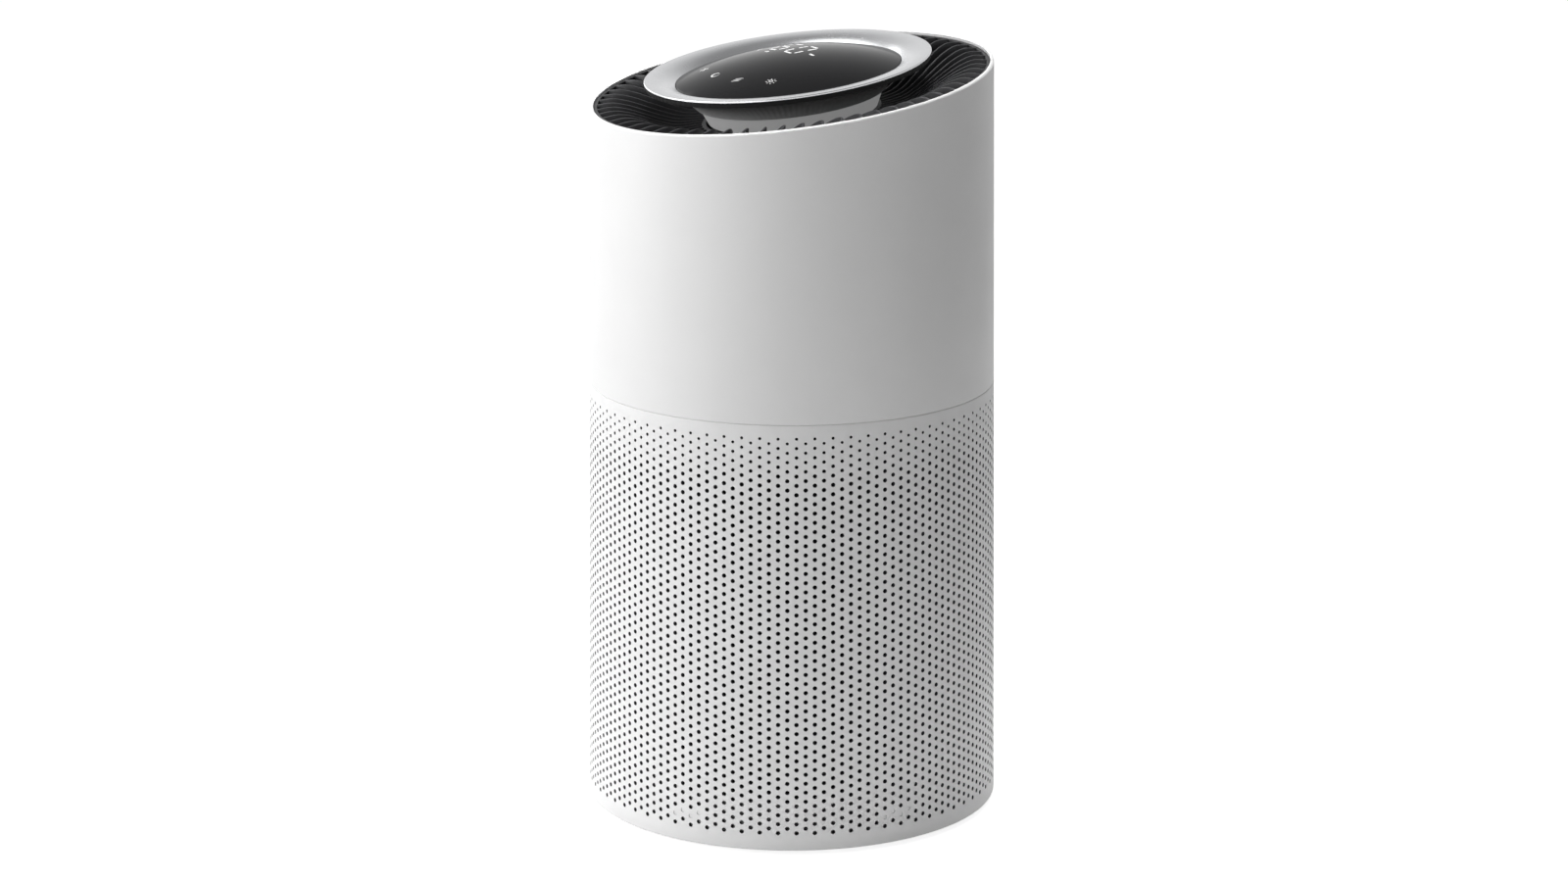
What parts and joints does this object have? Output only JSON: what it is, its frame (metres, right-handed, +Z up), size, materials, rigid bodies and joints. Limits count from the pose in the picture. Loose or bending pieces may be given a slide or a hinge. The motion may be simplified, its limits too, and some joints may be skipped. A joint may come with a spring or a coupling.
{
  "type": "air purifier",
  "caption": "Tower air purifier with a perforated lower half, a filter behind a twist-off bottom cover, a radial fan and a slanted louvre ring round a tilted control dome.",
  "frame": {"origin": "centre of the bottom, on the floor under the rubber feet", "axes": "+Z up along the tower's axis, -Y towards the front, the low side of the slanted rim, +X to the right seen from the front"},
  "size_m": [0.2558, 0.2558, 0.4745],
  "materials": {
    "shell_white": "moulded ABS, fine even spark texture",
    "deck_plastic": "moulded ABS, mid grey",
    "duct_plastic": "moulded ABS, near black",
    "louvre_plastic": "moulded ABS, near black, satin",
    "fan_plastic": "glass-filled nylon, dark grey",
    "ring_metal": "satin spun rim ring",
    "dome_gloss": "polished smoked acrylic",
    "light_guide": "frosted light guide, unlit",
    "filter_paper": "pleated glass-fibre paper",
    "filter_net": "nylon pre-filter net",
    "filter_carbon": "carbon fleece on a net tube",
    "filter_cap": "moulded ABS end cap",
    "foam": "closed-cell foam strip",
    "ribbon": "woven pull ribbon",
    "rubber_feet": "moulded rubber",
    "steel": "ground and zinc-plated steel",
    "motor_steel": "galvanised steel can",
    "laminations": "stacked electrical steel",
    "magnet": "sintered ferrite",
    "copper_wire": "enamelled copper winding",
    "pin_brass": "nickel-plated brass",
    "board": "solder-masked circuit board",
    "module_black": "moulded black plastic"
  },
  "bodies": {
    "tower": {"upper_shell": "shell_white", "lower_shell": "shell_white", "base_ring": "shell_white", "feet": "rubber_feet", "filter_cap_bottom": "filter_cap", "filter_cap_top": "filter_cap", "filter_media": "filter_paper", "filter_sleeve": "filter_net", "filter_core": "filter_carbon", "filter_seal": "foam", "filter_tab": "ribbon", "fan_deck": "deck_plastic", "inlet_guard": "deck_plastic", "bearing_lower": "steel", "bearing_upper": "steel", "motor_can": "motor_steel", "motor_lid": "motor_steel", "motor_core": "laminations", "motor_coils": "copper_wire", "motor_dampers": "rubber_feet", "fan_diffuser": "duct_plastic", "air_duct": "duct_plastic", "outlet_grille": "louvre_plastic", "light_ring": "light_guide", "hub_skirt": "louvre_plastic", "display_ring": "ring_metal", "display_dome": "dome_gloss", "control_cup": "duct_plastic", "control_board": "board", "digit_module": "module_black", "touch_pads": "foam", "power_inlet": "module_black", "inlet_pins": "pin_brass", "power_board": "board", "dust_sensor": "module_black", "deck_screws": "steel", "motor_screws": "steel", "hub_screws": "steel", "board_screws": "steel"},
    "fan_rotor": {"impeller": "fan_plastic", "impeller_nut": "steel", "fan_shaft": "steel", "motor_magnet": "magnet"},
    "bottom_door": {"base_cover": "shell_white"}
  },
  "joints": [
    {"name": "fan_spin", "type": "hinge", "parent": "tower", "child": "fan_rotor", "pos_m": [0, 0, 0.32], "axis": [0, 0, 1], "continuous": true},
    {"name": "cover_twist", "type": "hinge", "parent": "tower", "child": "bottom_door", "pos_m": [0, 0, 0.004], "axis": [0, 0, -1], "range_deg": [0, 20]}
  ]
}
